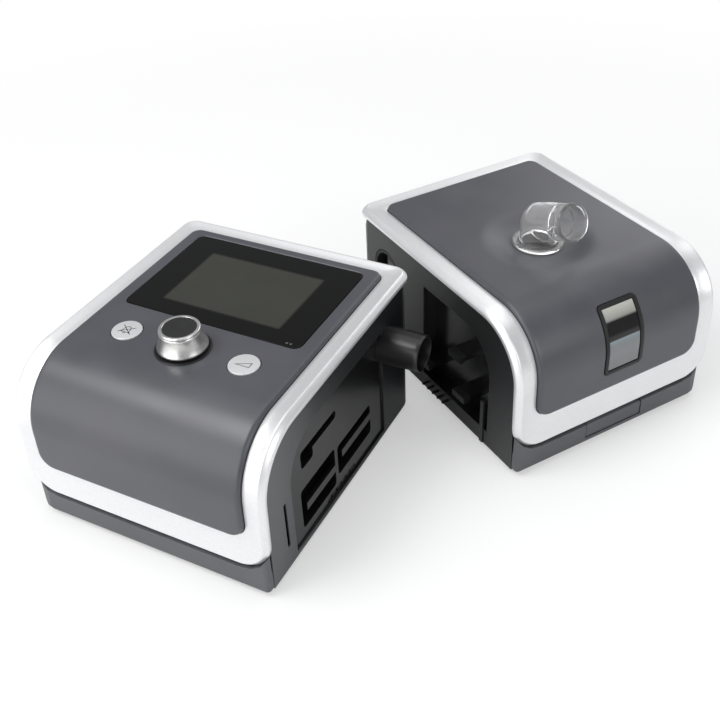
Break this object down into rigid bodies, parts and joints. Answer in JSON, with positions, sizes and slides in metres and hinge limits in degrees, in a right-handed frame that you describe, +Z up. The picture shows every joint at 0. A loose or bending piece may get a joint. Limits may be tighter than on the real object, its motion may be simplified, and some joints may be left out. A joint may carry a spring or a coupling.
{
  "type": "cpap machine",
  "caption": "Sleep-therapy air unit in two docking modules: a blower unit with display, knob and buttons, and a heated humidifier with hinged lid and swivelling outlet elbow.",
  "frame": {"origin": "centre of the bounding box at the floor, between the two modules as they stand in the picture", "axes": "+X to the main unit's docking side, +Y to the main unit's back, +Z up; the humidifier is turned 56.6 degrees about +Z"},
  "size_m": [0.3074, 0.3382, 0.1274],
  "materials": {
    "silver_paint": "satin silver paint",
    "slate_plastic": "fine satin",
    "dark_plastic": "fine texture",
    "black_plastic": "satin",
    "display_glass": "polished black acrylic",
    "clear_plastic": "polished and clear",
    "button_plastic": "satin",
    "soft_rubber": "matte",
    "circuit_board": "solder mask",
    "bare_aluminium": "brushed",
    "bright_steel": "brushed",
    "pale_plastic": "satin",
    "filter_foam": "open foam"
  },
  "bodies": {
    "main_unit": {"base_shell": "dark_plastic", "docking_wall": "dark_plastic", "left_side_panel": "dark_plastic", "rear_panel": "dark_plastic", "silver_frame": "silver_paint", "top_panel": "slate_plastic", "display_window": "display_glass", "lcd_module": "black_plastic", "knob_ring": "black_plastic", "encoder_body": "bright_steel", "mute_switch": "black_plastic", "ramp_switch": "black_plastic", "control_board": "circuit_board", "intake_box": "pale_plastic", "air_filter": "filter_foam", "power_inlet": "black_plastic", "power_board": "circuit_board", "card_reader": "black_plastic", "humidifier_plug": "black_plastic", "blower_housing": "black_plastic", "blower_cover": "black_plastic", "blower_motor": "bright_steel", "outlet_coupling": "soft_rubber", "air_outlet_tube": "dark_plastic", "main_foot_front": "soft_rubber", "main_foot_rear": "soft_rubber"},
    "knob_stem": {"encoder_shaft": "bright_steel"},
    "knob": {"control_knob": "silver_paint", "knob_cap": "black_plastic"},
    "mute": {"mute_button": "button_plastic"},
    "ramp": {"ramp_button": "button_plastic"},
    "impeller": {"blower_impeller": "pale_plastic", "motor_shaft": "bright_steel"},
    "filter_door": {"filter_cover": "dark_plastic"},
    "humidifier": {"humidifier_base": "dark_plastic", "humidifier_docking_wall": "dark_plastic", "humidifier_side_panel": "dark_plastic", "humidifier_rear_panel": "dark_plastic", "heater_plate": "bare_aluminium", "heater_insulator": "pale_plastic", "chamber_base_plate": "bare_aluminium", "chamber_tub": "clear_plastic", "chamber_seal": "soft_rubber", "chamber_lid": "clear_plastic", "inlet_duct": "pale_plastic", "inlet_seal": "soft_rubber", "heater_contacts": "black_plastic", "lid_hinge_pin": "bright_steel", "humidifier_foot_front": "soft_rubber", "humidifier_foot_rear": "soft_rubber"},
    "lid": {"humidifier_frame": "silver_paint", "lid_panel": "slate_plastic", "lid_liner": "pale_plastic", "water_window": "clear_plastic", "window_gasket": "soft_rubber", "outlet_collar": "dark_plastic"},
    "elbow": {"outlet_elbow": "clear_plastic"},
    "release": {"lid_release_button": "dark_plastic"}
  },
  "joints": [
    {"name": "knob_push", "type": "slide", "parent": "main_unit", "child": "knob_stem", "axis": [0, 0.0105, -0.9999], "range_m": [0, 0.001], "stiffness_N_per_m": 1500, "springref_m": -0.001},
    {"name": "knob_turn", "type": "hinge", "parent": "knob_stem", "child": "knob", "pos_m": [-0.0782, -0.1137, 0.0943], "axis": [0, -0.0105, 0.9999], "continuous": true},
    {"name": "mute_press", "type": "slide", "parent": "main_unit", "child": "mute", "axis": [0, 0.0105, -0.9999], "range_m": [0, 0.0006], "stiffness_N_per_m": 900, "springref_m": -0.0006},
    {"name": "ramp_press", "type": "slide", "parent": "main_unit", "child": "ramp", "axis": [0, 0.0105, -0.9999], "range_m": [0, 0.0006], "stiffness_N_per_m": 900, "springref_m": -0.0006},
    {"name": "impeller_spin", "type": "hinge", "parent": "main_unit", "child": "impeller", "pos_m": [-0.0662, -0.0642, 0.0645], "axis": [0, 0, 1], "continuous": true},
    {"name": "filter_cover_pull", "type": "slide", "parent": "main_unit", "child": "filter_door", "axis": [0, 1, 0], "range_m": [0, 0.012]},
    {"name": "humidifier_dock_slide", "type": "slide", "parent": "main_unit", "child": "humidifier", "axis": [0.5505, 0.8348, 0], "range_m": [0, 0.05]},
    {"name": "lid_hinge", "type": "hinge", "parent": "humidifier", "child": "lid", "pos_m": [-0.01773, 0.10786, 0.084], "axis": [-0.5505, -0.8348, 0], "range_deg": [0, 70]},
    {"name": "elbow_swivel", "type": "hinge", "parent": "lid", "child": "elbow", "pos_m": [0.05155, 0.05834, 0.09451], "axis": [0.0087, -0.0058, 0.9999], "continuous": true},
    {"name": "release_press", "type": "slide", "parent": "humidifier", "child": "release", "axis": [-0.8348, 0.5505, 0], "range_m": [0, 0.0015], "stiffness_N_per_m": 900, "springref_m": -0.001}
  ]
}
